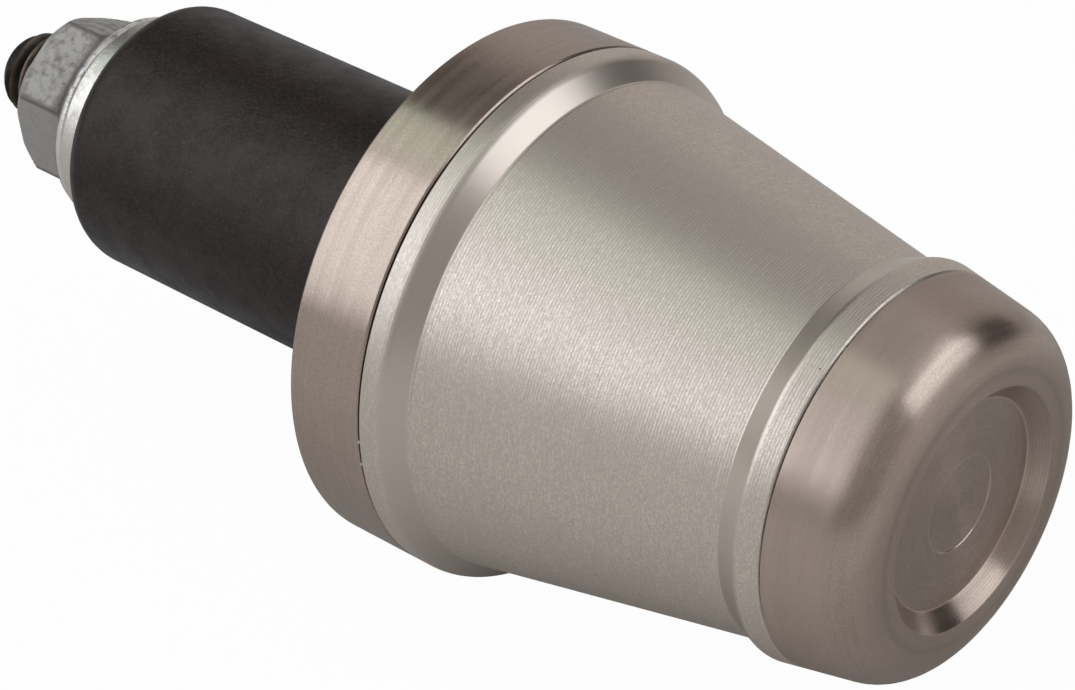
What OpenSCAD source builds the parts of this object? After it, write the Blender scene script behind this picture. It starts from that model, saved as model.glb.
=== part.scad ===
// Bar end for the open end of a tubular handlebar: a rubber plug that swells inside the tube,
// a stop ring, a tapered weight and a screw-in cap, all drawn up by one long screw.
// The bar's axis is X. +X points out of the bar towards the cap, and +Z is up.
// X = 0 is the face of the ring that the end of the handlebar tube butts against.
// All sizes are in millimetres.

/* [Base ring] */
// diameter of the ring, and of the rim of the body beside it
rim_d = 33; // [28:0.5:42]
// length of the ring along the bar
ring_len = 5.3; // [4:0.1:9]
// rounding on the ring's edge at the handlebar side
ring_round = 0.15; // [0.1:0.05:1]
// bevel on the ring's edge at the body side
ring_bevel = 0.3; // [0.1:0.05:0.6]

/* [Tapered body] */
// length of the straight land beside the ring
land_len = 1.45; // [0.8:0.05:4]
// depth of the 45 degree bevel that drops from the land to the taper
shoulder_drop = 1.22; // [0.6:0.02:2]
// rounding on the corner between the land and that bevel
shoulder_round = 1; // [0.4:0.1:1.2]
// length of the long taper
taper_len = 19.45; // [12:0.05:35]
// slope of the taper, the lip and the side of the cap, in degrees
taper_deg = 10.6; // [6:0.1:14]
// length of the ramp that rises from the taper to the lip
ramp_len = 1.55; // [0.8:0.05:3]
// slope of that ramp, in degrees
ramp_deg = 20; // [10:1:40]
// rounding on the corner between the ramp and the lip
lip_round = 0.8; // [0.2:0.1:1]
// length of the lip
lip_len = 1.5; // [0.8:0.05:4]
// small bevel on the edges that meet the ring and the cap
joint_bevel = 0.15; // [0.05:0.05:0.3]

/* [End cap] */
// length of the cap that shows
cap_len = 5.65; // [4:0.05:10]
// rounding on the cap's outer shoulder
cap_round = 3; // [1:0.1:3.4]
// diameter of the dish in the cap's face, at its mouth
dish_d = 14.8; // [8:0.1:16]
// depth of the dish, whose wall slopes at 45 degrees
dish_depth = 1.02; // [0.4:0.02:1.8]
// diameter of the shallow turned disc in the middle of the dish
disc_d = 5.8; // [3:0.1:8]
// depth of that disc
disc_depth = 0.08; // [0.04:0.02:0.2]
// diameter of the cap's screwed spigot
spigot_d = 16; // [12:0.5:17]
// length of the spigot
spigot_len = 5; // [3:0.5:8]

/* [Expander sleeve] */
// outside diameter of the rubber sleeve, set by the handlebar's bore
sleeve_d = 17.5; // [13:0.1:20]
// length of the rubber sleeve
sleeve_len = 27.6; // [20:0.1:45]
// rounding on the sleeve's far rim
sleeve_round = 1.5; // [0.3:0.1:2]

/* [Screw, washer and nut] */
// thread diameter of the long socket head screw
screw_d = 6; // [6:1:6]
// how far the screw's tip stands past the nut
tip_past = 5.5; // [1:0.1:15]
// diameter of the screw's head
head_d = 10; // [9.5:0.1:10.5]
// height of the screw's head
head_h = 6; // [5:0.5:6]
// width across flats of the socket in the head
socket_af = 5; // [4:0.5:5]
// depth of that socket
socket_depth = 3; // [2:0.5:3.5]
// how far the plain washer's edge stands past the nut's flange
washer_past = 0.1; // [0.1:0.1:0.5]
// thickness of the plain washer
washer_t = 1.9; // [1:0.1:2.5]
// width across flats of the nut
nut_af = 10; // [9:0.5:11]
// height of the nut with its flange
nut_h = 6; // [5:0.1:8]
// diameter of the nut's flange
flange_d = 13.8; // [12:0.1:14.2]
// thickness of the flange at its rim
flange_rim = 0.6; // [0.4:0.1:1.6]
// how far the nut is turned about the screw, in degrees
nut_turn = 8; // [0:1:59]

/* [Fits] */
// gap round a screwed pair, on the radius
thread_gap = 0.05; // [0.02:0.01:0.1]
// gap round the body's pilot in the ring, on the radius
pilot_gap = 0.05; // [0.02:0.01:0.1]
// gap round the screw in the ring, the body and the washer, on the radius
screw_gap = 0.2; // [0.1:0.05:0.4]
// gap round the screw inside the rubber sleeve, on the radius
sleeve_gap = 0.3; // [0.1:0.05:0.6]
// gap round the screw's head in the body, on the radius
head_gap = 0.3; // [0.2:0.05:0.5]
// space left between the screw's head and the cap's spigot
head_room = 0.45; // [0.2:0.05:3]

/* [Hidden] */
$fn = 128;

rim_r = rim_d / 2;
slope = tan(taper_deg);

// places along X
body_x = ring_len;
shoulder_x = body_x + land_len;
taper_x = shoulder_x + shoulder_drop;
ramp_x = taper_x + taper_len;
lip_x = ramp_x + ramp_len;
cap_x = lip_x + lip_len;
face_x = cap_x + cap_len;

// radii along the body
taper_r1 = rim_r - shoulder_drop;
taper_r2 = taper_r1 - slope * taper_len;
lip_r = taper_r2 + tan(ramp_deg) * ramp_len;
cap_r = lip_r - slope * lip_len;
corner_r = cap_r - slope * cap_len;

// inside the body
spigot_lead = 0.6;
head_top_x = cap_x - spigot_len - head_room;
seat_x = head_top_x - head_h;
spigot_bore_x = head_top_x + head_room / 2;

// the pilot that centres the body in the ring
pilot_r = rim_r * 0.6;
pilot_len = ring_len * 0.36;
pilot_room = 0.1;

// the plug's end of the screw
washer_x = -sleeve_len;
washer_d = flange_d + 2 * washer_past;
nut_x = washer_x - washer_t;
tip_x = nut_x - nut_h - tip_past;

// turns a shape drawn about Z so that its Z runs along X
module along_x(x = 0) {
    translate([x, 0, 0])
        rotate([0, 90, 0])
            children();
}

// spins an outline drawn as [radius, X] about the bar's axis
module spin() {
    along_x()
        rotate_extrude()
            children();
}

// a hole along the bar from x1 to x2
module hole(x1, x2, r) {
    along_x(x1)
        cylinder(h = x2 - x1, r = r);
}

// rounds one outer corner of an outline: a and b are points on the edges that meet at c
module rounded(a, c, b, r) {
    u = (a - c) / norm(a - c);
    v = (b - c) / norm(b - c);
    half = acos(u * v) / 2;
    middle = (u + v) / norm(u + v);
    t = r / tan(half);
    difference() {
        children();
        difference() {
            polygon([c + u * t, c - middle * 0.05, c + v * t]);
            translate(c + middle * r / sin(half))
                circle(r = r);
        }
    }
}

module end_cap() {
    side = [cap_r, cap_x];
    corner = [corner_r, face_x];
    mouth = [dish_d / 2, face_x];
    floor_r = dish_d / 2 - dish_depth;
    floor_x = face_x - dish_depth;
    color([0.56, 0.52, 0.48])
        spin() {
            rounded(side, corner, mouth, cap_round)
                polygon([
                    [0, floor_x - disc_depth],
                    [disc_d / 2, floor_x - disc_depth],
                    [disc_d / 2, floor_x],
                    [floor_r, floor_x],
                    mouth,
                    corner,
                    [cap_r - slope * joint_bevel, cap_x + joint_bevel],
                    [cap_r - joint_bevel, cap_x],
                    // the spigot, with a lead on its end
                    [spigot_d / 2, cap_x],
                    [spigot_d / 2, cap_x - spigot_len + spigot_lead],
                    [spigot_d / 2 - spigot_lead, cap_x - spigot_len],
                    [0, cap_x - spigot_len]
                ]);
        }
}

module body_outline() {
    land = [rim_r, body_x + joint_bevel];
    corner = [rim_r, shoulder_x];
    foot = [taper_r1, taper_x];
    ramp = [taper_r2, ramp_x];
    lip = [lip_r, lip_x];
    lip_end = [cap_r + slope * joint_bevel, cap_x - joint_bevel];
    rounded(land, corner, foot, shoulder_round)
        rounded(ramp, lip, lip_end, lip_round)
            polygon([
                [0, body_x],
                [rim_r - joint_bevel, body_x],
                land,
                corner,
                foot,
                ramp,
                lip,
                lip_end,
                [cap_r - joint_bevel, cap_x],
                [0, cap_x]
            ]);
}

module tapered_body() {
    color([0.64, 0.62, 0.59])
        difference() {
            union() {
                spin()
                    body_outline();
                along_x(body_x - pilot_len)
                    cylinder(h = pilot_len + 1, r = pilot_r);
            }
            hole(body_x - pilot_len - 1, seat_x + 1, screw_d / 2 + screw_gap);
            hole(seat_x, spigot_bore_x + 1, head_d / 2 + head_gap);
            hole(spigot_bore_x, cap_x + 1, spigot_d / 2 + thread_gap);
        }
}

module base_ring() {
    color([0.55, 0.51, 0.47])
        difference() {
            spin()
                rounded([0, 0], [rim_r, 0], [rim_r, ring_len], ring_round)
                    polygon([
                        [0, 0],
                        [rim_r, 0],
                        [rim_r, ring_len - ring_bevel],
                        [rim_r - ring_bevel, ring_len],
                        [0, ring_len]
                    ]);
            hole(-1, ring_len, screw_d / 2 + screw_gap);
            hole(ring_len - pilot_len - pilot_room, ring_len + 1, pilot_r + pilot_gap);
        }
}

module expander_sleeve() {
    color([0.13, 0.12, 0.12])
        difference() {
            spin()
                rounded([0, -sleeve_len], [sleeve_d / 2, -sleeve_len], [sleeve_d / 2, 0],
                        sleeve_round)
                    translate([0, -sleeve_len])
                        square([sleeve_d / 2, sleeve_len]);
            hole(-sleeve_len - 1, 1, screw_d / 2 + sleeve_gap);
        }
}

module plain_washer() {
    color([0.78, 0.77, 0.74])
        difference() {
            hole(washer_x - washer_t, washer_x, washer_d / 2);
            hole(washer_x - washer_t - 1, washer_x + 1, screw_d / 2 + screw_gap);
        }
}

module flange_nut() {
    hex_r = nut_af / 2 / cos(30);
    cone_h = (flange_d - nut_af) / 2 * 0.95;
    chamfer_r = nut_af * 0.495;
    color([0.72, 0.70, 0.69])
        difference() {
            union() {
                // the flange: a short rim and a cone up to the flats
                hole(nut_x - flange_rim, nut_x, flange_d / 2);
                along_x(nut_x - flange_rim - cone_h)
                    cylinder(h = cone_h, r1 = nut_af / 2, r2 = flange_d / 2);
                // the hexagon, with its corners turned off at the far end
                intersection() {
                    along_x(nut_x - nut_h)
                        rotate([0, 0, nut_turn])
                            cylinder(h = nut_h, r = hex_r, $fn = 6);
                    along_x(nut_x - nut_h)
                        cylinder(h = nut_h, r1 = chamfer_r, r2 = chamfer_r + nut_h / tan(50));
                }
            }
            hole(nut_x - nut_h - 1, nut_x + 1, screw_d / 2 + thread_gap);
            // the countersink at the mouth of the thread
            along_x(nut_x - nut_h - 0.1)
                cylinder(h = 0.6, r1 = screw_d / 2 + thread_gap + 0.5, r2 = screw_d / 2 - 0.1);
        }
}

module through_screw() {
    r = screw_d / 2;
    color([0.10, 0.09, 0.08])
        difference() {
            union() {
                // the shank, with a domed tip
                spin() {
                    translate([0, tip_x + r])
                        square([r, seat_x - tip_x - r + 1]);
                    intersection() {
                        translate([0, tip_x + r])
                            circle(r = r);
                        translate([0, tip_x])
                            square([r, r * 1.01]);
                    }
                }
                // the head, with its top edge broken
                along_x(seat_x)
                    cylinder(h = head_h - 0.5, r = head_d / 2);
                along_x(seat_x + head_h - 0.5)
                    cylinder(h = 0.5, r1 = head_d / 2, r2 = head_d / 2 - 0.5);
            }
            along_x(seat_x + head_h - socket_depth)
                cylinder(h = socket_depth + 1, r = socket_af / 2 / cos(30), $fn = 6);
        }
}

end_cap();
tapered_body();
base_ring();
expander_sleeve();
plain_washer();
flange_nut();
through_screw();
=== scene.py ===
"""Looks of a handlebar bar end: a turned steel ring, tapered body and dished cap, a rubber sleeve,
zinc plated washer and nut, and a blackened screw. The bar's axis is X, and +Z is up.
Shapes are worked out in millimetres and become metres when a mesh is made."""
import math

import bpy
from mathutils import Matrix, Quaternion, Vector


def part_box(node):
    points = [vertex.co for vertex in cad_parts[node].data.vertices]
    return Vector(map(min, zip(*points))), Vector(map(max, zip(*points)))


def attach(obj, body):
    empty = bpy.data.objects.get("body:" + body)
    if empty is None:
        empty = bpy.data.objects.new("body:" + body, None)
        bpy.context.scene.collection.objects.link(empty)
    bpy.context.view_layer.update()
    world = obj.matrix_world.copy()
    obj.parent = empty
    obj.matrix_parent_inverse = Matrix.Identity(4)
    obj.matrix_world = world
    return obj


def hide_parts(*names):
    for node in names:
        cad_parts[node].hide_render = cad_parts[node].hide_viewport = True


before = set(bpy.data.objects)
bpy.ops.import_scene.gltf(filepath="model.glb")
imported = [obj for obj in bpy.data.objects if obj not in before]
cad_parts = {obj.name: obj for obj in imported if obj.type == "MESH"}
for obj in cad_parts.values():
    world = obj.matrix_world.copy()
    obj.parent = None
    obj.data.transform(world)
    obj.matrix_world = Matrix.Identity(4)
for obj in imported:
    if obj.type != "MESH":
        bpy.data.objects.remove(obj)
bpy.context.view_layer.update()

MM = 0.001


def node_box(name):
    """Lowest and highest corner of a CAD node, in millimetres."""
    low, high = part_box(name)
    return low / MM, high / MM


# places taken from the boxes of the CAD nodes in model.glb
_, RING_HIGH = node_box("base_ring")
BODY_LOW, BODY_HIGH = node_box("tapered_body")
CAP_LOW, CAP_HIGH = node_box("end_cap")
SLEEVE_LOW, SLEEVE_HIGH = node_box("expander_sleeve")
WASHER_LOW, WASHER_HIGH = node_box("plain_washer")
NUT_LOW, NUT_HIGH = node_box("flange_nut")
SCREW_LOW, SCREW_HIGH = node_box("through_screw")
RIM_R = RING_HIGH.z
BODY_X = RING_HIGH.x
CAP_X = BODY_HIGH.x
FACE_X = CAP_HIGH.x

# sizes that the boxes don't give: the body's visible side, from the ring to the cap
LAND_LEN = 1.45
SHOULDER_DROP = 1.22
SHOULDER_ROUND = 1.0
TAPER_DEG = 10.6
RAMP_LEN = 1.55
RAMP_DEG = 20.0
LIP_ROUND = 0.8
LIP_LEN = 1.5

# the edges at the joints between the ring, the body and the cap
RING_ROUND = 0.15
RING_BEVEL = 0.18
LAND_BEVEL = 0.14
JOINT_BEVEL = 0.15
CAP_BEVEL = 0.06

# the cap
CAP_ROUND = 3.0
DISH_R = 7.4
DISH_DEPTH = 1.02
DISC_R = 2.9
DISC_DEPTH = 0.05
SPIGOT_R = 8.0
SPIGOT_BEVEL = 0.6

# the rubber, the screw and the nut
SLEEVE_ROUND = 1.5
SCREW_R = 3.0
HEAD_R = 5.0
HEAD_LEN = 6.0
SOCKET_AF = 5.0
SOCKET_DEPTH = 3.0
THREAD_END = -14.0
THREAD_RUNOUT = 1.5
THREAD_PITCH = 1.0
THREAD_DEPTH = 0.61
THREAD_PHASE = 0.45
NUT_AF = 10.0
NUT_TURN_DEG = 8.0
CHAMFER_R = 5.15
CHAMFER_DEG = 50.0
FLANGE_RIM = 0.6
COUNTERSINK = 0.45

# what no view shows: the body's pilot in the ring, and the room left round a piece
PILOT_R = RIM_R * 0.6
PILOT_LEN = BODY_X * 0.36
FIT_GAP = 0.05
END_GAP = 0.1
SCREW_GAP = 0.2
SLEEVE_GAP = 0.3
HEAD_GAP = 0.3

# the smallest rounding given to an edge
BREAK = 0.04

SLOPE = math.tan(math.radians(TAPER_DEG))
FOOT_X = BODY_X + LAND_LEN + SHOULDER_DROP
LIP_X = CAP_X - LIP_LEN
RAMP_X = LIP_X - RAMP_LEN
RIM_END_X = NUT_HIGH.x - FLANGE_RIM


# outlines: lists of (x, radius, normal x, normal radius)

def arc_points(corner, before, after, rounding, steps):
    """Rounds one corner of an outline and gives its points with their outward normals."""
    to_before = (before - corner).normalized()
    to_after = (after - corner).normalized()
    travel = -to_before
    outward = Vector((travel.y, -travel.x))
    half = to_before.angle(to_after) / 2
    middle = (to_before + to_after).normalized()
    reach = rounding / math.tan(half)
    centre = corner + middle * (rounding / math.sin(half))
    start = corner + to_before * reach - centre
    end = corner + to_after * reach - centre
    side = 1 if start.dot(outward) > 0 else -1
    turn = start.angle_signed(end)
    points = []
    for i in range(steps + 1):
        spoke = start.copy()
        spoke.rotate(Matrix.Rotation(-turn * i / steps, 2))
        place = centre + spoke
        normal = spoke.normalized() * side
        points.append((place.x, place.y, normal.x, normal.y))
    return points


def outline(corners, steps=6):
    """A closed outline from corners (x, radius, rounding), going round with the solid on its left."""
    flat = [Vector(c[:2]) for c in corners]
    points = []
    for i, (x, r, rounding) in enumerate(corners):
        before, after = flat[i - 1], flat[(i + 1) % len(flat)]
        if r == 0:
            side = 1 if before.y == 0 else -1
            points.append((x, 0.0, side, 0.0))
        else:
            points += arc_points(flat[i], before, after, rounding, steps)
    return points


# meshes

def new_piece(name, verts, faces, normals=None, crease_deg=None):
    """Makes a smooth mesh object from points in millimetres."""
    mesh = bpy.data.meshes.new(name)
    mesh.from_pydata([Vector(v) * MM for v in verts], [], faces)
    mesh.validate()
    mesh.shade_smooth()
    if normals:
        mesh.normals_split_custom_set_from_vertices(normals)
    if crease_deg:
        mesh.set_sharp_from_angle(angle=math.radians(crease_deg))
    piece = bpy.data.objects.new(name, mesh)
    bpy.context.scene.collection.objects.link(piece)
    return piece


def ring_faces(rings):
    """Faces between each ring of vertex numbers and the next, closing on single vertices."""
    faces = []
    for a, b in zip(rings, rings[1:] + rings[:1]):
        if len(a) == 1 and len(b) == 1:
            continue
        count = max(len(a), len(b))
        for j in range(count):
            k = (j + 1) % count
            if len(a) == 1:
                faces.append((a[0], b[j], b[k]))
            elif len(b) == 1:
                faces.append((a[j], b[0], a[k]))
            else:
                faces.append((a[j], b[j], b[k], a[k]))
    return faces


def spoke_place(x, radius, turn):
    """The point at that place along the bar; turn runs from +Z towards -Y."""
    return (x, -radius * math.sin(turn), radius * math.cos(turn))


def lathe(name, points, sides):
    """Spins an outline about the bar's axis, with the outline's own exact normals."""
    verts, normals, rings = [], [], []
    for x, r, nx, nr in points:
        count = 1 if r == 0 else sides
        rings.append(list(range(len(verts), len(verts) + count)))
        for j in range(count):
            turn = 2 * math.pi * j / sides
            verts.append(spoke_place(x, r, turn))
            normals.append(spoke_place(nx, nr, turn))
    return new_piece(name, verts, ring_faces(rings), normals=normals)


def spun_grid(name, levels, sides, start_deg, crease_deg):
    """Like lathe, but each level's radius is a number or a function of the turn."""
    verts, rings = [], []
    for x, radius in levels:
        count = 1 if radius == 0 else sides
        rings.append(list(range(len(verts), len(verts) + count)))
        for j in range(count):
            turn = math.radians(start_deg) + 2 * math.pi * j / sides
            r = radius(turn) if callable(radius) else radius
            verts.append(spoke_place(x, r, turn))
    return new_piece(name, verts, ring_faces(rings), crease_deg=crease_deg)


def hexagon(across_flats, turn, start_deg, soft):
    """Radius of a hexagon with slightly rounded corners; one corner is at start_deg."""
    total = 0.0
    for k in range(6):
        facing = math.cos(turn - math.radians(start_deg + 30 + 60 * k))
        if facing > 0.3:
            total += math.exp(-across_flats / 2 / facing / soft)
    return -soft * math.log(total)


def soft_min(a, b, soft):
    """The lesser of two lengths, blended over about soft."""
    return min(a, b) - soft * math.log(1 + math.exp(-abs(a - b) / soft))


def soft_max(a, b, soft):
    """The greater of two lengths, blended over about soft."""
    return -soft_min(-a, -b, soft)


# pieces

def turned_ring():
    """The stop ring, with a recess for the body's pilot."""
    bore, recess = SCREW_R + SCREW_GAP, PILOT_R + FIT_GAP
    recess_x = BODY_X - PILOT_LEN - END_GAP
    corners = [
        (0, bore, BREAK), (recess_x, bore, BREAK), (recess_x, recess, BREAK),
        (BODY_X, recess, BREAK), (BODY_X, RIM_R - RING_BEVEL, 0.05),
        (BODY_X - RING_BEVEL, RIM_R, 0.08), (0, RIM_R, RING_ROUND),
    ]
    return lathe("turned_ring", outline(corners[::-1]), sides=256)


def taper_radius(x):
    """Radius of the long taper at x."""
    return RIM_R - SHOULDER_DROP - SLOPE * (x - FOOT_X)


def body_corners():
    """Corners of the body's visible side, from the ring to the cap."""
    ramp_r = taper_radius(RAMP_X)
    lip_r = ramp_r + math.tan(math.radians(RAMP_DEG)) * RAMP_LEN
    end_r = lip_r - SLOPE * LIP_LEN
    return [
        (BODY_X, RIM_R - LAND_BEVEL, 0.03),
        (BODY_X + LAND_BEVEL, RIM_R, 0.04),
        (BODY_X + LAND_LEN, RIM_R, SHOULDER_ROUND),
        (FOOT_X, RIM_R - SHOULDER_DROP, 0.12),
        (RAMP_X, ramp_r, 0.2),
        (LIP_X, lip_r, LIP_ROUND),
        (CAP_X - JOINT_BEVEL, end_r + SLOPE * JOINT_BEVEL, 0.05),
        (CAP_X, end_r - JOINT_BEVEL, 0.03),
    ]


def turned_body():
    """The tapered weight, bored for the screw, its head and the cap's spigot."""
    bore, counterbore = SCREW_R + SCREW_GAP, HEAD_R + HEAD_GAP
    thread_bore = SPIGOT_R + FIT_GAP
    seat_x = SCREW_HIGH.x - HEAD_LEN
    spigot_x = (SCREW_HIGH.x + CAP_LOW.x) / 2
    inside = [
        (CAP_X, thread_bore, BREAK), (spigot_x, thread_bore, BREAK),
        (spigot_x, counterbore, BREAK), (seat_x, counterbore, BREAK),
        (seat_x, bore, BREAK), (BODY_LOW.x, bore, BREAK),
        (BODY_LOW.x, PILOT_R, BREAK), (BODY_X, PILOT_R, BREAK),
    ]
    return lathe("turned_body", outline((body_corners() + inside)[::-1], steps=10), sides=256)


def turned_cap():
    """The cap, with its dished face, the shallow disc in it and the hidden spigot."""
    cap_r = body_corners()[-1][1] + JOINT_BEVEL
    corner_r = cap_r - SLOPE * (FACE_X - CAP_X)
    floor_x, floor_r = FACE_X - DISH_DEPTH, DISH_R - DISH_DEPTH
    disc_x = floor_x - DISC_DEPTH
    corners = [
        (CAP_LOW.x, 0, 0), (CAP_LOW.x, SPIGOT_R - SPIGOT_BEVEL, BREAK),
        (CAP_LOW.x + SPIGOT_BEVEL, SPIGOT_R, BREAK), (CAP_X, SPIGOT_R, BREAK),
        (CAP_X, cap_r - CAP_BEVEL, 0.02),
        (CAP_X + CAP_BEVEL, cap_r - SLOPE * CAP_BEVEL, 0.03),
        (FACE_X, corner_r, CAP_ROUND),
        (FACE_X, DISH_R, 0.16), (floor_x, floor_r, 0.10),
        (floor_x, DISC_R, 0.03), (disc_x, DISC_R - DISC_DEPTH, 0.03),
        (disc_x, 0, 0),
    ]
    return lathe("turned_cap", outline(corners[::-1], steps=12), sides=256)


def moulded_sleeve():
    """The rubber plug, rounded most at its far end."""
    bore, far, r = SCREW_R + SLEEVE_GAP, SLEEVE_LOW.x, SLEEVE_HIGH.z
    corners = [
        (0, bore, 0.1), (0, r, 0.12), (far, r, SLEEVE_ROUND), (far, bore, 0.15),
    ]
    return lathe("moulded_sleeve", outline(corners, steps=10), sides=192)


def stamped_washer():
    """The plain washer, with one edge rounder than the other, as a stamping leaves it."""
    bore, r = SCREW_R + SCREW_GAP, WASHER_HIGH.z
    low, high = WASHER_LOW.x, WASHER_HIGH.x
    corners = [(high, bore, 0.08), (high, r, 0.28), (low, r, 0.18), (low, bore, 0.08)]
    return lathe("stamped_washer", outline(corners), sides=144)


def thread_height(x, turn):
    """Height of the thread at a place, from 0 at its root to 1 at its crest."""
    root_from, flank = 0.75, 0.62
    phase = (x / THREAD_PITCH - turn / (2 * math.pi) + THREAD_PHASE) % 1
    away = abs(phase - 0.5) * 2
    height = min(1, max(0, (root_from - away) / flank))
    return height * height * (3 - 2 * height)


def flange_levels(flange_r):
    """The flange's flat face and its rim, which is rounded on both sides."""
    face, face_round, back_round, steps = NUT_HIGH.x, 0.2, 0.25, 6
    levels = [(face, SCREW_R + 0.4), (face, flange_r - face_round)]
    quarter = [math.pi / 2 * i / steps for i in range(steps + 1)]
    for a in quarter:
        levels.append((face - face_round + face_round * math.cos(a),
                       flange_r - face_round + face_round * math.sin(a)))
    for a in quarter:
        levels.append((RIM_END_X + back_round - back_round * math.sin(a),
                       flange_r - back_round + back_round * math.cos(a)))
    return levels


def bore_levels(face, end, steps):
    """The nut's threaded bore, with a countersink at the outer end."""
    bore_r, depth = SCREW_R + FIT_GAP, THREAD_DEPTH * 0.9

    def radius_at(x):
        mouth = COUNTERSINK - (x - end)
        if mouth > 0:
            return bore_r + mouth
        return lambda turn: bore_r - depth * (1 - thread_height(x, turn))

    places = [end + (face - end) * i / steps for i in range(steps + 1)]
    return [(x, radius_at(x)) for x in places]


def forged_nut():
    """A flange nut: flange, cone, chamfered hexagon and a threaded bore."""
    face, end, flange_r = NUT_HIGH.x, NUT_LOW.x, NUT_HIGH.z
    corner_soft, chamfer_soft, least_r, end_step = 0.06, 0.03, 3, 0.06
    # the cone meets the flats after slightly less length than it is high
    cone_drop = flange_r - NUT_AF / 2
    cone_len = cone_drop * 0.95

    def outside(x):
        cone = flange_r - (RIM_END_X - x) * cone_drop / cone_len
        chamfer = CHAMFER_R + (x - end) / math.tan(math.radians(CHAMFER_DEG))

        def radius(turn):
            flats = hexagon(NUT_AF, turn, NUT_TURN_DEG, corner_soft)
            forged = soft_max(flats, max(cone, least_r), corner_soft)
            return soft_min(forged, chamfer, chamfer_soft)
        return radius

    levels = flange_levels(flange_r)
    steps = 40
    for i in range(1, steps + 1):
        x = RIM_END_X - (RIM_END_X - end) * i / steps
        levels.append((x, outside(x)))
    levels.append((end, lambda turn: outside(end)(turn) - end_step))
    levels.append((end, SCREW_R + 0.5))
    levels += bore_levels(face, end, steps=72)
    return spun_grid("forged_nut", levels, sides=144, start_deg=NUT_TURN_DEG, crease_deg=32)


def head_levels(seat_x, top):
    """The screw's round head and the hexagon socket in it."""
    socket = lambda turn: hexagon(SOCKET_AF, turn, 0, 0.03)
    return [
        (seat_x - 0.2, SCREW_R), (seat_x, SCREW_R + 0.15), (seat_x, HEAD_R - 0.1),
        (seat_x + 0.1, HEAD_R), (top - 0.5, HEAD_R), (top - 0.2, HEAD_R - 0.15),
        (top, HEAD_R - 0.6), (top, lambda turn: socket(turn) + 0.15), (top - 0.15, socket),
        (top - SOCKET_DEPTH, socket), (top - SOCKET_DEPTH - 0.4, 0),
    ]


def threaded_screw():
    """The long socket head screw, threaded over the length that the photo shows and the nut grips."""
    tip, top = SCREW_LOW.x, SCREW_HIGH.x
    dome_steps, levels_per_turn = 12, 14

    def shank(x):
        along = x - tip
        dome = math.sqrt(max(0.0, SCREW_R ** 2 - max(0.0, SCREW_R - along) ** 2))
        fade = min(1, max(0, (THREAD_END - x) / THREAD_RUNOUT))

        def radius(turn):
            cut = SCREW_R - THREAD_DEPTH * (1 - thread_height(x, turn)) * fade
            return soft_min(dome, cut, 0.04) if along < SCREW_R * 1.5 else cut
        return radius

    def dome_x(step):
        return tip + SCREW_R * (1 - math.cos(math.pi / 2 * step / dome_steps))

    places = [dome_x(i) for i in range(1, dome_steps)]
    start = places[-1]
    steps = int((THREAD_END - start) / THREAD_PITCH * levels_per_turn)
    places += [start + (THREAD_END - start) * i / steps for i in range(1, steps + 1)]
    levels = [(tip, 0)] + [(x, shank(x)) for x in places] + head_levels(top - HEAD_LEN, top)
    return spun_grid("threaded_screw", levels, sides=96, start_deg=0, crease_deg=40)


# materials

# base colours, as the metal reflects straight on
FINE_TINT = (0.60, 0.468, 0.394)
SATIN_TINT = (0.95, 0.818, 0.715)

# the distance between tool lines on the body and on the wall of the cap's dish
TOOL_PITCH = 0.2
WALL_PITCH = 0.26
# the side of the top where the body's tool line is painted with most contrast, as the highlight's
# edge shows it up there: its share of Y and of Z
TOOL_SHEEN_SIDE = (-0.375, 0.927)
# what is added to the place along the bar for each millimetre of radius, so that the tool lines
# look alike on the body's taper and on the faces beside it
TOOL_LEAN = -0.414
# radius of the ring painted darker on the cap's face, as shade where its rounded shoulder meets the
# flat
FACE_SHADE_RING_R = 8.35

# the gaps at the joints, painted dark with shade and dirt, each from one place along the bar to
# another
RING_GAPS = [(BODY_X - 0.08, BODY_X + 0.1)]
BODY_GAPS = [(BODY_X - 0.1, BODY_X + 0.12), (CAP_X - 0.01, CAP_X + 0.1)]
CAP_GAPS = [(CAP_X - 0.1, CAP_X + 0.05)]
GAP_SHADE_AND_DIRT = (0.05, 0.036, 0.028, 1)

# two specks in the ring's joint, and a nick on the lip at x, y, z with its radius
SPECK_TURNS_DEG = (93.0, 98.7)
SPECK_DEPTH = 0.08
SPECK_R = 0.16
SPECK_TONE = (0.95, 0.84, 0.74, 1)
LIP_NICK = (30.0, -6.63, 10.01, 0.08)
NICK_TONE = (0.2, 0.16, 0.14, 1)


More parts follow.
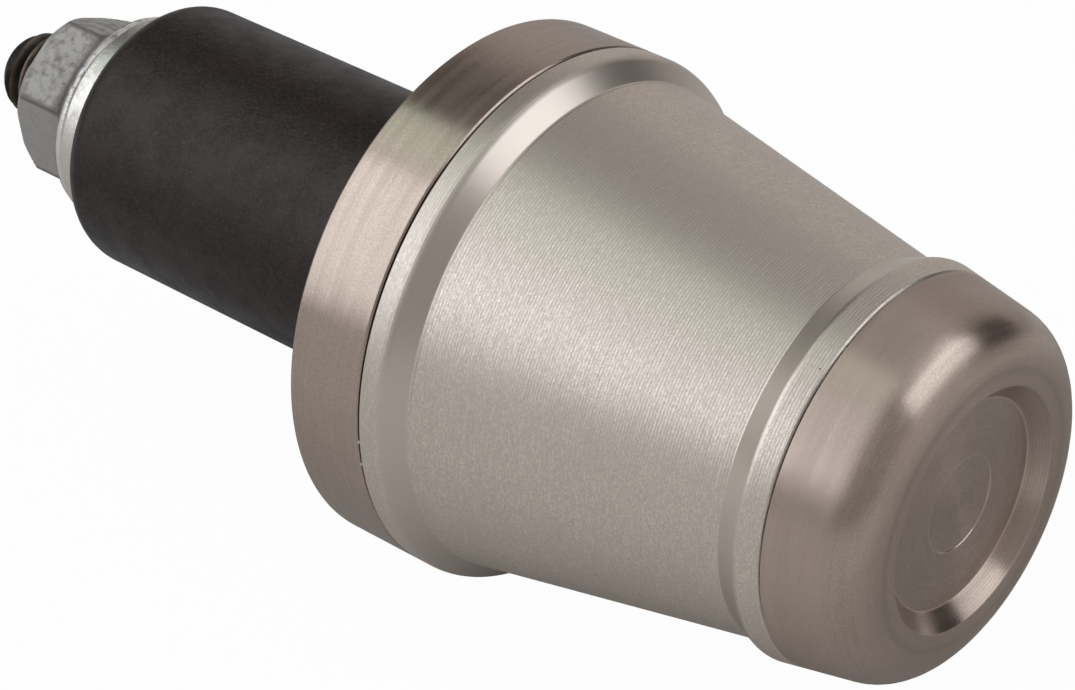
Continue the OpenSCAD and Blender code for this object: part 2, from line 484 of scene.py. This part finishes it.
class Graph:
    """A material's node tree, with short calls for the nodes used here."""

    def __init__(self, tree):
        self.tree = tree
        self.tree.nodes.clear()

    def node(self, kind, inputs=None, **settings):
        """Adds a node with its inputs and settings."""
        made = self.tree.nodes.new(kind)
        for key, value in settings.items():
            setattr(made, key, value)
        for key, value in (inputs or {}).items():
            self.feed(made.inputs[key], value)
        return made

    def feed(self, socket, value):
        """Links another node's output to the socket, or sets it to a plain value."""
        if isinstance(value, bpy.types.NodeSocket):
            self.tree.links.new(value, socket)
        else:
            socket.default_value = value

    def math(self, operation, a, b=0.0, c=0.0):
        return self.node("ShaderNodeMath", {0: a, 1: b, 2: c}, operation=operation).outputs[0]

    def ramp(self, value, low, high, out_low=0.0, out_high=1.0, smooth=True):
        """Goes from out_low to out_high while the value goes from low to high, and stays there."""
        made = self.node(
            "ShaderNodeMapRange",
            {"Value": value, "From Min": low, "From Max": high,
             "To Min": out_low, "To Max": out_high},
            interpolation_type="SMOOTHSTEP" if smooth else "LINEAR")
        return made.outputs[0]

    def mix(self, factor, a, b):
        """Mixes two colours."""
        made = self.node("ShaderNodeMix", data_type="RGBA")
        for socket, value in zip((made.inputs[0], made.inputs[6], made.inputs[7]), (factor, a, b)):
            self.feed(socket, value)
        return made.outputs[2]

    def mix_value(self, factor, a, b):
        """Mixes two numbers."""
        made = self.node("ShaderNodeMix", data_type="FLOAT")
        for socket, value in zip((made.inputs[0], made.inputs[2], made.inputs[3]), (factor, a, b)):
            self.feed(socket, value)
        return made.outputs[0]

    def paint(self, colour, mask, share, tone):
        """Covers the colour with a tone; where the mask is 1, share says how far."""
        return self.mix(self.math("MULTIPLY", mask, share), colour, tone)

    def near(self, value, centre, full, gone):
        """1 while the value is within full of the centre, and 0 from gone on."""
        away = self.math("ABSOLUTE", self.math("SUBTRACT", value, centre))
        return self.ramp(away, full, gone, 1.0, 0.0)

    def wave(self, value, pitch):
        """A sine wave of that pitch, from -1 to 1."""
        return self.math("SINE", self.math("MULTIPLY", value, 2 * math.pi / pitch))

    def vector(self, x, y, z):
        return self.node("ShaderNodeCombineXYZ", {0: x, 1: y, 2: z}).outputs[0]

    def noise(self, vector, scale, detail=2.0, roughness=0.5, w=None):
        """Noise at a place, with a fourth coordinate where w is given."""
        inputs = {"Vector": vector, "Scale": scale, "Detail": detail, "Roughness": roughness}
        if w is None:
            return self.node("ShaderNodeTexNoise", inputs).outputs[0]
        inputs["W"] = w
        return self.node("ShaderNodeTexNoise", inputs, noise_dimensions="4D").outputs[0]

    def bump(self, height, depth_mm, normal=None):
        inputs = {"Height": height, "Strength": 1.0, "Distance": depth_mm * MM}
        if normal is not None:
            inputs["Normal"] = normal
        return self.node("ShaderNodeBump", inputs).outputs[0]


def new_material(name):
    """An empty material and the graph to fill."""
    material = bpy.data.materials.new(name)
    material.use_nodes = True
    return material, Graph(material.node_tree)


def shade(graph, colour, roughness, normal, metallic=0.0, anisotropy=0.0, specular=0.5,
          glint=(1, 1, 1, 1)):
    """Ends a material: metallic, anisotropy and specular level are constants on the shader."""
    shader = graph.node("ShaderNodeBsdfPrincipled", {
        "Base Color": colour, "Roughness": roughness, "Normal": normal,
        "Metallic": metallic, "Specular IOR Level": specular, "Specular Tint": glint})
    if anisotropy:
        # the grooves run round the bar, so the gloss spreads along it
        shader.inputs["Anisotropic"].default_value = anisotropy
        shader.inputs["Anisotropic Rotation"].default_value = 0.25
        tangent = graph.node("ShaderNodeTangent", direction_type="RADIAL", axis="X")
        graph.feed(shader.inputs["Tangent"], tangent.outputs[0])
    output = graph.node("ShaderNodeOutputMaterial")
    graph.feed(output.inputs["Surface"], shader.outputs[0])


class Turned:
    """Coordinates of a turned piece, in millimetres: along the bar, out from it, and round it."""

    def __init__(self, graph):
        self.graph = graph
        place = graph.node("ShaderNodeTexCoord").outputs["Object"]
        scaled = graph.node("ShaderNodeVectorMath", {0: place, 3: 1 / MM}, operation="SCALE")
        self.place = scaled.outputs[0]
        parts = graph.node("ShaderNodeSeparateXYZ", {0: self.place}).outputs
        self.x = parts[0]
        squares = graph.math("MULTIPLY_ADD", parts[1], parts[1],
                             graph.math("MULTIPLY", parts[2], parts[2]))
        self.r = graph.math("SQRT", squares)
        safe = graph.math("MAXIMUM", self.r, 0.01)
        self.cos = graph.math("DIVIDE", parts[2], safe)
        self.sin = graph.math("DIVIDE", parts[1], safe)

    def lines(self, per_mm, round_trip, detail=2.0):
        """Noise drawn out round the bar: round_trip is about how often it changes in one radian."""
        g = self.graph
        vector = g.vector(g.math("MULTIPLY", self.x, per_mm), g.math("MULTIPLY", self.r, per_mm),
                          g.math("MULTIPLY", self.cos, round_trip))
        return g.noise(vector, 1.0, detail, w=g.math("MULTIPLY", self.sin, round_trip))

    def band(self, low, high, blur):
        """1 between two places along the bar, fading over blur."""
        g = self.graph
        rise = g.ramp(self.x, low - blur, low + blur)
        fall = g.ramp(self.x, high - blur, high + blur, 1.0, 0.0)
        return g.math("MULTIPLY", rise, fall)


def joint_shade_and_dirt(graph, at, colour, gaps):
    """Paints shade and dirt dark into the thin gaps, each from one place along the bar to another."""
    for low, high in gaps:
        colour = graph.mix(at.band(low, high, 0.02), colour, GAP_SHADE_AND_DIRT)
    return colour


def marks(graph, at, colour, places, tone):
    """Small round marks of one colour: each place is x, y, z and radius in millimetres."""
    for x, y, z, radius in places:
        away = graph.node("ShaderNodeVectorMath", {0: at.place, 1: (x, y, z)},
                          operation="DISTANCE").outputs["Value"]
        colour = graph.paint(colour, graph.ramp(away, radius * 0.6, radius, 1.0, 0.0), 0.8, tone)
    return colour


def joint_specks():
    """Two light specks of dirt that bridge the dark joint between the ring and the body."""
    return [spoke_place(BODY_X, RIM_R - SPECK_DEPTH, math.radians(turn)) + (SPECK_R,)
            for turn in SPECK_TURNS_DEG]


def scaled(tint, share):
    """A colour made darker or lighter by one share."""
    return tuple(min(1.0, c * share) for c in tint) + (1,)


def face_turning_and_painted_light(g, at, colour, tint):
    """The cap's face: pale lines painted round the disc and the dish's floor as highlights on their
    edges, the lathe's grooves on the dish's wall, and a ring of painted shade on the paler rim."""
    # pale lines painted as highlights along the disc's edge and the floor's edge
    for r in (DISC_R, DISH_R - DISH_DEPTH):
        line = g.math("MULTIPLY", g.near(at.r, r, 0.02, 0.1),
                      g.ramp(at.x, FACE_X - 1.3, FACE_X - 1.2))
        colour = g.paint(colour, line, 0.4, scaled(tint, 1.5))
    wall = g.math("MULTIPLY", at.band(FACE_X - DISH_DEPTH + 0.08, FACE_X - 0.08, 0.05),
                  g.ramp(at.r, DISH_R, DISH_R + 0.1, 1.0, 0.0))
    groove = g.ramp(g.wave(g.math("ADD", at.x, at.r), WALL_PITCH), -1.0, 1.0, 0.0, 0.6)
    colour = g.mix(g.math("MULTIPLY", wall, groove), colour, scaled(tint, 0.7))
    face = g.ramp(at.x, FACE_X - 0.9, FACE_X - 0.3)
    colour = g.paint(colour, face, 0.3, scaled(tint, 1.12))
    # a ring painted darker, as shade where the shoulder meets the flat face
    ring = g.math("MULTIPLY", face, g.near(at.r, FACE_SHADE_RING_R, 0.05, 0.35))
    return g.paint(colour, ring, 0.5, scaled(tint, 0.8))


def fine_steel(name, gaps, is_cap=False):
    """Fine turned stainless steel of the ring and the cap."""
    material, g = new_material(name)
    at = Turned(g)
    tint = FINE_TINT
    # fine and broad rings from the lathe, uneven colour, and a grain
    fine = at.lines(8.0, 2.5, 1.0)
    broad = at.lines(1.6, 0.6)
    cloud = g.noise(at.place, 0.35, 3.0)
    grain = g.noise(at.place, 8.0, 2.0, 0.7)
    flank = at.band(CAP_X, FACE_X - CAP_ROUND + 1.0, 0.6)
    colour = g.mix(g.ramp(cloud, 0.3, 0.7), scaled(tint, 0.98), scaled(tint, 1.07))
    colour = g.mix(g.ramp(fine, 0.35, 0.65, 0.0, 0.3), colour, scaled(tint, 0.74))
    colour = g.mix(g.ramp(grain, 0.35, 0.65, 0.0, 0.6), colour, scaled(tint, 0.74))
    if is_cap:
        colour = face_turning_and_painted_light(g, at, colour, tint)
        colour = g.paint(colour, flank, 0.4, scaled(tint, 1.15))
    # shade and dirt painted dark in the joint gaps
    colour = joint_shade_and_dirt(g, at, colour, gaps)
    colour = marks(g, at, colour, joint_specks(), SPECK_TONE)
    uneven = g.math("ADD", broad, g.math("MULTIPLY", cloud, 0.6))
    roughness = g.ramp(uneven, 0.5, 1.1, 0.25, 0.36)
    if is_cap:
        roughness = g.math("MULTIPLY_ADD", flank, 0.11, roughness)
    normal = g.bump(fine, 0.0007)
    normal = g.bump(grain, 0.0012, normal)
    shade(g, colour, roughness, normal, metallic=1.0, anisotropy=0.8)
    return material


def foot_highlight_and_shade(g, at, colour, tint):
    """A painted highlight line and a painted shade line at the taper's foot, which fade out towards
    the underside.
    """
    for start, width, share, tone in ((-0.02, 0.08, 0.4, 1.0), (0.1, 0.07, 0.8, 0.5)):
        line = g.math("MULTIPLY", at.band(FOOT_X + start, FOOT_X + start + width, 0.03),
                      g.ramp(at.cos, 0.0, 0.35, 0.0, share))
        colour = g.mix(line, colour, scaled(tint, tone))
    return colour


def satin_roughness(g, at, grain, speck, bevel, ramp):
    """The body's roughness: grainy satin, smoother on the bevel, the ramp and the last edge."""
    roughness = g.ramp(g.math("ADD", grain, speck), 0.7, 1.3, 0.42, 0.51)
    for zone, even in ((bevel, 0.35), (ramp, 0.28)):
        roughness = g.math("MULTIPLY_ADD", zone, g.math("SUBTRACT", even, roughness), roughness)
    last_edge = g.ramp(at.x, CAP_X - JOINT_BEVEL - 0.05, CAP_X - JOINT_BEVEL)
    return g.math("MULTIPLY_ADD", last_edge, -0.12, roughness)


def body_steel():
    """Satin turned stainless steel, with a regular tool line and a fine grain."""
    material, g = new_material("body_satin_steel")
    at = Turned(g)
    tint = SATIN_TINT
    grain = at.lines(9.0, 60.0, 2.0)
    speck = g.noise(at.place, 9.0, 2.0, 0.7)
    streak = at.lines(6.0, 7.0, 1.0)
    cloud = g.noise(at.place, 0.25, 3.0)
    tool = g.wave(g.math("MULTIPLY_ADD", at.r, TOOL_LEAN, at.x), TOOL_PITCH)
    colour = g.mix(g.ramp(cloud, 0.3, 0.7), scaled(tint, 0.96), scaled(tint, 1.0))
    colour = g.mix(g.ramp(grain, 0.43, 0.57, 0.0, 0.55), colour, scaled(tint, 0.70))
    colour = g.mix(g.ramp(speck, 0.42, 0.58, 0.0, 0.55), colour, scaled(tint, 0.70))
    colour = g.mix(g.ramp(streak, 0.4, 0.6, 0.0, 0.3), colour, scaled(tint, 0.74))
    # the tool line is real, and its contrast is painted stronger on one side of the top, where the
    # highlight's edge shows it up
    towards_y, towards_z = TOOL_SHEEN_SIDE
    side = g.math("MULTIPLY_ADD", at.sin, towards_y, g.math("MULTIPLY", at.cos, towards_z))
    tool_ridge_and_sheen = g.math("MULTIPLY", g.ramp(tool, -1.0, 1.0, smooth=False),
                   g.ramp(side, 0.85, 0.97, 0.25, 1.3))
    colour = g.mix(tool_ridge_and_sheen, colour, scaled(tint, 0.70))
    # the bevel and the ramp were cut with a finer tool than the satin faces on each side of them
    land = at.band(BODY_X, BODY_X + LAND_LEN, 0.1)
    bevel = at.band(BODY_X + LAND_LEN, FOOT_X, 0.12)
    ramp = at.band(RAMP_X, LIP_X, 0.1)
    for zone, share, tone in ((land, 0.22, 0.74), (ramp, 0.9, 0.81), (bevel, 0.9, 0.74)):
        colour = g.paint(colour, zone, share, scaled(tint, tone))
    # painted highlight and shade lines at the taper's foot
    colour = foot_highlight_and_shade(g, at, colour, tint)
    # shade and dirt painted dark in the joint gaps
    colour = joint_shade_and_dirt(g, at, colour, BODY_GAPS)
    colour = marks(g, at, colour, joint_specks(), SPECK_TONE)
    colour = marks(g, at, colour, [LIP_NICK], NICK_TONE)
    rough = g.math("SUBTRACT", 1.0, g.math("MULTIPLY", g.math("ADD", bevel, ramp), 0.97))
    normal = None
    for height, depth_mm in ((tool, 0.0023), (streak, 0.009), (grain, 0.007)):
        normal = g.bump(g.math("MULTIPLY", height, rough), depth_mm, normal)
    roughness = satin_roughness(g, at, grain, speck, bevel, ramp)
    shade(g, colour, roughness, normal, metallic=1.0, anisotropy=0.4)
    return material


def sleeve_rubber():
    """Matt black rubber with mottling, a fine grain and a little dust."""
    material, g = new_material("sleeve_rubber")
    at = Turned(g)
    mottle = g.noise(at.place, 0.45, 4.0, 0.6)
    grain = g.noise(at.place, 5.0, 2.0, 0.7)
    dust = g.noise(at.place, 3.6, 4.0, 0.75)
    black, faded = (0.0032, 0.0019, 0.0015, 1), (0.0112, 0.0066, 0.0053, 1)
    grain_tone, dust_tone = (0.024, 0.0155, 0.0125, 1), (0.11, 0.10, 0.095, 1)
    colour = g.mix(g.ramp(mottle, 0.35, 0.65), black, faded)
    colour = g.mix(g.ramp(grain, 0.4, 0.7, 0.0, 0.8), colour, grain_tone)
    colour = g.mix(g.ramp(dust, 0.62, 0.74, 0.0, 0.5), colour, dust_tone)
    roughness = g.ramp(mottle, 0.3, 0.7, 0.46, 0.36)
    normal = g.bump(grain, 0.026)
    normal = g.bump(mottle, 0.05, normal)
    shade(g, colour, roughness, normal, specular=0.42, glint=(1.0, 0.85, 0.80, 1))
    return material


def zinc_plate(name, bright, grey, metallic, stain):
    """Zinc plate over rolled or forged steel: bright on the rims, duller on the nut's hexagon."""
    material, g = new_material(name)
    at = Turned(g)
    blotch = g.noise(at.place, 1.6, 4.0, 0.65)
    pits = g.noise(at.place, 6.0, 3.0, 0.6)
    dull = g.ramp(at.x, RIM_END_X - 0.25, RIM_END_X, 1.0, 0.0)
    corner = g.math("MULTIPLY", dull, g.ramp(at.r, NUT_AF * 0.56, NUT_AF * 0.572))
    cone = at.band(RIM_END_X - 1.9, RIM_END_X - 0.15, 0.4)
    cone = g.math("MULTIPLY", cone, g.ramp(pits, 0.3, 0.6, 0.7, 1.0))
    cone_dirt_and_shade, corner_dirt = (0.12, 0.094, 0.085, 1), (0.10, 0.08, 0.07, 1)
    colour = g.mix(dull, scaled(bright, 1.0), scaled(grey, 1.0))
    # the upper side is the stained one, and its darkening is also painted shade, as the upper side
    # reflects less light
    upper_stain_and_shade = g.ramp(at.cos, 0.3, 0.45, 0.15, 1.0)
    colour = g.paint(colour, cone, upper_stain_and_shade, cone_dirt_and_shade)
    colour = g.paint(colour, corner, 0.8, corner_dirt)
    stains_and_shade = g.math("MULTIPLY", upper_stain_and_shade, g.ramp(blotch, 0.42, 0.68, 0.0, stain))
    colour = g.mix(stains_and_shade, colour, scaled(grey, 0.5))
    roughness = g.math("MULTIPLY_ADD", dull, 0.22, g.ramp(blotch, 0.3, 0.7, 0.26, 0.42))
    normal = g.bump(pits, 0.012)
    normal = g.bump(blotch, 0.03, normal)
    shade(g, colour, roughness, normal, metallic=metallic)
    return material


def screw_black():
    """Black oxide on steel, browner and brighter on the worn crests of the thread."""
    material, g = new_material("screw_black_oxide")
    at = Turned(g)
    wear = g.noise(at.place, 1.2, 4.0, 0.6)
    crest = g.ramp(at.r, SCREW_R - 0.4, SCREW_R - 0.05)
    worn = g.math("MULTIPLY", crest, g.ramp(wear, 0.25, 0.6, 0.3, 1.0))
    oxide, bared = (0.018, 0.014, 0.011, 1), (0.17, 0.125, 0.095, 1)
    colour = g.mix(worn, oxide, bared)
    roughness = g.ramp(wear, 0.3, 0.7, 0.38, 0.6)
    normal = g.bump(g.noise(at.place, 8.0, 3.0), 0.006)
    shade(g, colour, roughness, normal, metallic=0.6, specular=0.5)
    return material


# the studio

# the floor's half width, and the place that its painted shadow grey starts from, in millimetres
FLOOR_HALF = 3000.0
FLOOR_SHADOW_AT = (56, 26)
# how far from that place the darkest grey of the painted shadow ends and the palest starts, with both
# greys
FLOOR_SHADOW_TO, FLOOR_PALE_FROM = 12, 70
FLOOR_SHADOW_GREY, FLOOR_PALE = 0.27, 0.42
# how far the camera sees white in place of the grey
FLOOR_WHITE = 0.977


def white_floor():
    """A wide pale floor that the ring's edge touches, with a shadow painted into its grey near the
    object. The camera sees it almost white.
    """
    z = -RIM_R
    signs = ((-1, -1), (1, -1), (1, 1), (-1, 1))
    corners = [(sx * FLOOR_HALF, sy * FLOOR_HALF, z) for sx, sy in signs]
    floor = new_piece("floor", corners, [(0, 1, 2, 3)])
    material, g = new_material("pale_floor")
    place = g.node("ShaderNodeTexCoord").outputs["Object"]
    away = g.node("ShaderNodeVectorMath", {0: place, 1: Vector((*FLOOR_SHADOW_AT, z)) * MM},
                  operation="DISTANCE").outputs["Value"]
    # painted shadow: the floor's grey is darker near the object
    tone = g.ramp(away, FLOOR_SHADOW_TO * MM, FLOOR_PALE_FROM * MM, FLOOR_SHADOW_GREY, FLOOR_PALE)
    paper = g.node("ShaderNodeBsdfDiffuse", {"Color": g.vector(tone, tone, tone)})
    white = g.node("ShaderNodeEmission", {"Color": (1, 1, 1, 1), "Strength": 1.0})
    seen = g.node("ShaderNodeLightPath").outputs["Is Camera Ray"]
    whiteness = g.math("MULTIPLY", seen, FLOOR_WHITE)
    mixed = g.node("ShaderNodeMixShader",
                   {0: whiteness, 1: paper.outputs[0], 2: white.outputs[0]})
    output = g.node("ShaderNodeOutputMaterial")
    g.feed(output.inputs["Surface"], mixed.outputs[0])
    floor.data.materials.append(material)


# what polished metal sees round it: direction, full within and gone past (degrees), amount
STUDIO = [
    ((-0.50, 0.86, 0.05), 5, 45, 0.18),
    ((0.36, 0.87, 0.33), 6, 21, -0.36),
    ((-0.62, 0.25, 0.74), 8, 30, -0.20),
    ((0.98, 0.17, 0.0), 5, 28, 0.20),
]
STUDIO_LEVEL = 0.28
STUDIO_LEAST = 0.03
# the even light that rubber and paper get from all round
FILL_LEVEL = 0.75


def studio_world():
    """White behind the object for the camera, a plain fill for the light, a soft room for metal."""
    world = bpy.data.worlds.new("studio")
    bpy.context.scene.world = world
    world.use_nodes = True
    g = Graph(world.node_tree)
    direction = g.node("ShaderNodeTexCoord").outputs["Generated"]
    level = STUDIO_LEVEL
    for towards, full, gone, amount in STUDIO:
        facing = g.node("ShaderNodeVectorMath", {0: direction, 1: Vector(towards).normalized()},
                        operation="DOT_PRODUCT").outputs["Value"]
        lobe = g.ramp(facing, math.cos(math.radians(gone)), math.cos(math.radians(full)),
                      0.0, amount)
        level = g.math("ADD", level, lobe)
    room = g.math("MAXIMUM", level, STUDIO_LEAST)
    path = g.node("ShaderNodeLightPath").outputs
    shiny = g.math("MAXIMUM", path["Is Glossy Ray"], path["Is Transmission Ray"])
    strength = g.mix_value(shiny, FILL_LEVEL, room)
    seen = g.mix_value(path["Is Camera Ray"], strength, 1.0)
    background = g.node("ShaderNodeBackground", {"Color": (1, 1, 1, 1), "Strength": seen})
    output = g.node("ShaderNodeOutputWorld")
    g.feed(output.inputs["Surface"], background.outputs[0])


def softbox(name, azimuth, elevation, wide_deg, high_deg, radiance, colour, roll=0, distance=0.6):
    """A flat soft light aimed at the origin. Azimuth is in degrees from +X towards +Y, and the
    distance in metres; wide_deg and high_deg say how large it looks from the origin."""
    a, e = math.radians(azimuth), math.radians(elevation)
    towards = Vector((math.cos(e) * math.cos(a), math.cos(e) * math.sin(a), math.sin(e)))
    light = bpy.data.lights.new(name, "AREA")
    light.shape = "RECTANGLE"
    light.color = colour
    light.size = 2 * distance * math.tan(math.radians(wide_deg / 2))
    light.size_y = 2 * distance * math.tan(math.radians(high_deg / 2))
    light.energy = radiance * math.pi * light.size * light.size_y
    lamp = bpy.data.objects.new(name, light)
    lamp.location = towards * distance
    lamp.rotation_mode = "QUATERNION"
    turn = Quaternion((0, 0, 1), math.radians(roll))
    lamp.rotation_quaternion = towards.to_track_quat("Z", "Y") @ turn
    lamp.visible_camera = False
    bpy.context.scene.collection.objects.link(lamp)


# the photograph's viewpoint, found by fitting the turned edges
CAMERA_AZIMUTH_DEG = 41.03
CAMERA_ELEVATION_DEG = 33.13
CAMERA_LENS = 124.24
CAMERA_SENSOR = 36.0
# right of, above and behind the origin, as the camera sees it, in millimetres
CAMERA_PLACE = (3.323, -3.847, 222.65)


def studio_camera():
    """The camera, at the photograph's viewpoint."""
    azimuth, elevation = math.radians(CAMERA_AZIMUTH_DEG), math.radians(CAMERA_ELEVATION_DEG)
    right = Vector((math.cos(azimuth), math.sin(azimuth), 0))
    up = Vector((-math.sin(azimuth) * math.sin(elevation),
                 math.cos(azimuth) * math.sin(elevation), math.cos(elevation)))
    back = right.cross(up)
    data = bpy.data.cameras.new("camera")
    data.sensor_fit = "HORIZONTAL"
    data.sensor_width = CAMERA_SENSOR
    data.lens = CAMERA_LENS
    data.clip_start = 0.01
    camera = bpy.data.objects.new("camera", data)
    along_right, along_up, along_back = CAMERA_PLACE
    place = (right * along_right + up * along_up + back * along_back) * MM
    turn = Matrix((right, up, back)).transposed().to_4x4()
    camera.matrix_world = Matrix.Translation(place) @ turn
    bpy.context.scene.collection.objects.link(camera)
    bpy.context.scene.camera = camera


def dress():
    """Makes every piece with its material, in place of its CAD node."""
    ring = fine_steel("ring_turned_steel", RING_GAPS)
    cap = fine_steel("cap_turned_steel", CAP_GAPS, is_cap=True)
    washer = zinc_plate("zinc_washer", bright=(0.77, 0.71, 0.645), grey=(0.55, 0.51, 0.48),
                        metallic=1.0, stain=0.3)
    nut = zinc_plate("zinc_nut", bright=(0.70, 0.65, 0.62), grey=(0.385, 0.355, 0.335),
                     metallic=0.6, stain=0.8)
    looks = [
        (turned_ring(), "base_ring", "ring_steel", ring),
        (turned_body(), "tapered_body", "body_steel", body_steel()),
        (turned_cap(), "end_cap", "cap_steel", cap),
        (moulded_sleeve(), "expander_sleeve", "rubber", sleeve_rubber()),
        (stamped_washer(), "plain_washer", "zinc_plate", washer),
        (forged_nut(), "flange_nut", "zinc_plate", nut),
        (threaded_screw(), "through_screw", "black_oxide", screw_black()),
    ]
    for piece, node, slot, material in looks:
        piece.data.materials.append(material)
        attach(piece, "root")
        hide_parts(node)


dress()
white_floor()
studio_world()
softbox("softbox_left", azimuth=236.2, elevation=33.8, wide_deg=51, high_deg=53,
        radiance=1.27, colour=(0.94, 1.04, 1.12), roll=38)
softbox("softbox_top", azimuth=201, elevation=64.6, wide_deg=18, high_deg=44,
        radiance=0.84, colour=(0.86, 1.08, 1.0), roll=-31)
softbox("softbox_right", azimuth=26, elevation=44.2, wide_deg=46, high_deg=34.5,
        radiance=1.40, colour=(0.93, 1.02, 1.09), distance=0.35)
studio_camera()
bpy.context.scene.view_settings.view_transform = "Standard"
